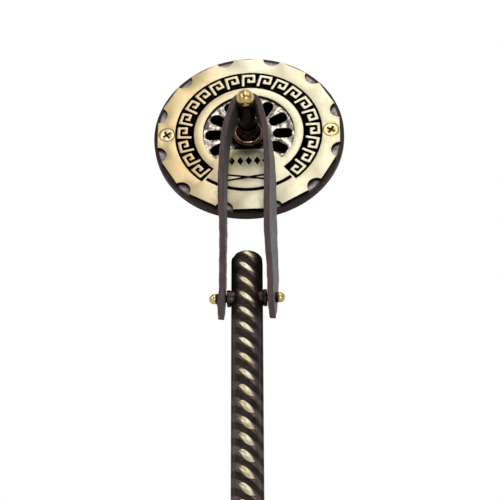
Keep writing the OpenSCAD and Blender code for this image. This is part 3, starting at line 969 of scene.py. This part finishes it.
BLADE_T = 1.8
BLADE_R = 26
SWEEP_R = 420
TANG_HALF = 6
STRAIGHT = 62
RIVET_DROPS = (18, 36)
BLADE_HALF = (blade_high.x - blade_low.x) / 2


def blade_half(z):
    """Half the blade's width at a height."""
    wide_z = blade_low.z + BLADE_HALF
    lap_z = blade_high.z - 48
    if z > lap_z:
        return TANG_HALF
    if z > wide_z:
        t = (lap_z - z) / (lap_z - wide_z)
        return TANG_HALF + (BLADE_HALF - TANG_HALF) * (1 - cos(pi * t)) / 2
    return sqrt(max(0, BLADE_HALF ** 2 - (wide_z - z) ** 2))


def build_blade():
    """Sheet hollowed to the front, swept forwards at its lower end."""
    top, bottom = blade_high.z, blade_low.z
    sweep_z = top - STRAIGHT
    steps = 110

    def place(u, v):
        # rows crowd together towards the round tip
        z = top + (bottom + CLEAR - top) * sin(v * pi / 2) ** 0.9
        half = blade_half(z)
        x = half * (2 * u - 1)
        hollow = BLADE_R - sqrt(BLADE_R ** 2 - x * x)
        below = max(0, sweep_z - z)
        forward = SWEEP_R - sqrt(SWEEP_R ** 2 - below ** 2)
        return Vector((x, ROD_Y - BLADE_T / 2 - hollow - forward, z))

    bm = grid(36, steps, place)
    bmesh.ops.remove_doubles(bm, verts=bm.verts, dist=1e-3)
    bmesh.ops.recalc_face_normals(bm, faces=bm.faces)
    if sum(f.normal.y for f in bm.faces) > 0:
        bmesh.ops.reverse_faces(bm, faces=bm.faces)
    rub = bm.verts.layers.float.new("rub")
    for vert in bm.verts:
        down = min(1, max(0, (sweep_z - 10 - vert.co.z) / 60))
        vert[rub] = down * (0.45 + 0.4 * (1 - abs(vert.co.x) / BLADE_HALF))
    obj = piece("pressed_blade", bm, "shoehorn", BLADE, ["shoe_blade"], sharp=60)
    thick = obj.modifiers.new("thickness", "SOLIDIFY")
    thick.thickness = BLADE_T * MM
    thick.offset = 0
    thick.use_even_offset = True
    edge = obj.modifiers.new("edge", "BEVEL")
    edge.width = 0.55 * MM
    edge.segments = 3
    edge.limit_method = "ANGLE"
    edge.angle_limit = radians(50)


def build_rivets():
    """Two domed rivets with their washers let into the bar's back."""
    rivets, washers = [], []
    r_low, r_high = box_mm("blade_rivets")
    w_low, w_high = box_mm("rivet_washers")
    dome = [(0, 2.0), (1.0, 1.86), (1.9, 1.46), (2.7, 0.78), (3.15, 0.12), (3.1, 0), (2.0, 0)]
    head = dome[0][1]
    front, back = -r_low.y - head, -r_high.y + head
    for drop in RIVET_DROPS:
        z = blade_high.z - drop
        outline = [(r, front + h) for r, h in dome] + [(r, back - h) for r, h in reversed(dome)]
        rivet = spun(fillet(outline, 0.3, 3), 40)
        onto_wall(rivet)
        move(rivet, z=z)
        rivets.append(rivet)
        washer = spun(tube_profile((w_high.x - w_low.x) / 2, 2.05, -w_high.y, -w_low.y, 0.2), 40)
        onto_wall(washer)
        move(washer, z=z)
        washers.append(washer)
    piece("domed_rivets", joined(*rivets), "shoehorn", GOLD, ["blade_rivets"])
    piece("rivet_seats", joined(*washers), "shoehorn", COPPER_WASHER,
          ["rivet_washers"])


def dress_cad_nodes():
    """The CAD nodes left showing get the finish of their slots."""
    for name, material in (("peg_screw", PLAIN_STEEL), ("cross_pin", BLACK)):
        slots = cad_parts[name].data.materials
        slots.clear()
        slots.append(material)


# ---------------------------------------------------------------- studio


FLOOR_Z = -0.70


def build_stage():
    """A plain floor below the hanging object."""
    bm = bmesh.new()
    bmesh.ops.create_grid(bm, x_segments=1, y_segments=1, size=3)
    bmesh.ops.translate(bm, vec=(0, 0, FLOOR_Z), verts=bm.verts)
    mesh = bpy.data.meshes.new("studio_floor")
    bm.to_mesh(mesh)
    bm.free()
    f = Finish("pale_floor", Roughness=0.9)
    f.set("Base Color", f.mix(f.noise(2, 3), rgb(236, 236, 234), rgb(246, 246, 244)))
    mesh.materials.append(f.material)
    floor = bpy.data.objects.new("studio_floor", mesh)
    bpy.context.scene.collection.objects.link(floor)


def area_light(name, place, target, size, power, colour=(1, 1, 1)):
    data = bpy.data.lights.new(name, "AREA")
    data.shape = "RECTANGLE"
    data.size, data.size_y = size
    data.energy = power
    data.color = colour
    light = bpy.data.objects.new(name, data)
    light.location = place
    light.rotation_euler = (Vector(target) - Vector(place)).to_track_quat("-Z", "Y").to_euler()
    light.visible_camera = False
    bpy.context.scene.collection.objects.link(light)


def build_lights():
    """White room, darker towards the front, with soft boxes in front."""
    world = bpy.data.worlds.new("studio")
    bpy.context.scene.world = world
    world.use_nodes = True
    tree = world.node_tree
    tree.nodes.clear()

    def add(kind, **settings):
        node = tree.nodes.new(kind)
        for key, value in settings.items():
            setattr(node, key, value)
        return node

    room = add("ShaderNodeBackground")
    white = add("ShaderNodeBackground")
    white.inputs["Color"].default_value = (1, 1, 1, 1)
    coords = add("ShaderNodeTexCoord")
    split = add("ShaderNodeSeparateXYZ")
    tree.links.new(coords.outputs["Generated"], split.inputs[0])
    ramp = add("ShaderNodeMapRange", interpolation_type="SMOOTHSTEP")
    for key, value in (("From Min", -0.7), ("From Max", 0.5), ("To Min", 0.26), ("To Max", 0.85)):
        ramp.inputs[key].default_value = value
    tree.links.new(split.outputs[1], ramp.inputs["Value"])
    tree.links.new(ramp.outputs[0], room.inputs["Strength"])
    path = add("ShaderNodeLightPath")
    mix = add("ShaderNodeMixShader")
    out = add("ShaderNodeOutputWorld")
    tree.links.new(path.outputs["Is Camera Ray"], mix.inputs[0])
    tree.links.new(room.outputs[0], mix.inputs[1])
    tree.links.new(white.outputs[0], mix.inputs[2])
    tree.links.new(mix.outputs[0], out.inputs[0])
    area_light("key", (0.26, -0.70, 0.42), (0, 0, -0.02), (0.9, 0.9), 1.95, (1, 0.99, 0.97))
    area_light("strip", (0.03, -0.52, 0.52), (0, -0.03, 0), (0.10, 0.8), 0.55)
    area_light("fill", (-0.6, -0.7, 0.1), (0, 0, -0.1), (0.4, 0.9), 1.6, (1, 0.97, 0.92))
    area_light("low", (0.25, -0.75, -0.5), (0, 0, -0.1), (0.3, 0.3), 1.0)


def build_camera():
    """Camera below the plate, looking up at it, as far off as a hand-held close view."""
    distance, lens = 0.800, 141.5
    up, side, tilt = radians(31.81), radians(3.136), radians(-0.176)
    aim = Vector((0.000133, 0, -0.05493))
    look = Vector((-sin(side) * cos(up), cos(side) * cos(up), sin(up)))
    right = Vector((cos(side), sin(side), 0))
    above = right.cross(look)
    right, above = right * cos(tilt) + above * sin(tilt), above * cos(tilt) - right * sin(tilt)
    data = bpy.data.cameras.new("camera")
    data.lens = lens
    data.sensor_width = 36
    data.clip_start = 0.01
    camera = bpy.data.objects.new("camera", data)
    pose = Matrix((right, above, -look)).transposed().to_4x4()
    pose.translation = aim - look * distance
    camera.matrix_world = pose
    bpy.context.scene.collection.objects.link(camera)
    bpy.context.scene.camera = camera


build_plate()
build_wall_screws()
build_peg()
build_strap()
build_pin()
build_rod()
build_ferrule()
build_blade()
build_rivets()
dress_cad_nodes()
build_stage()
build_lights()
build_camera()
bpy.context.scene.view_settings.view_transform = "Standard"
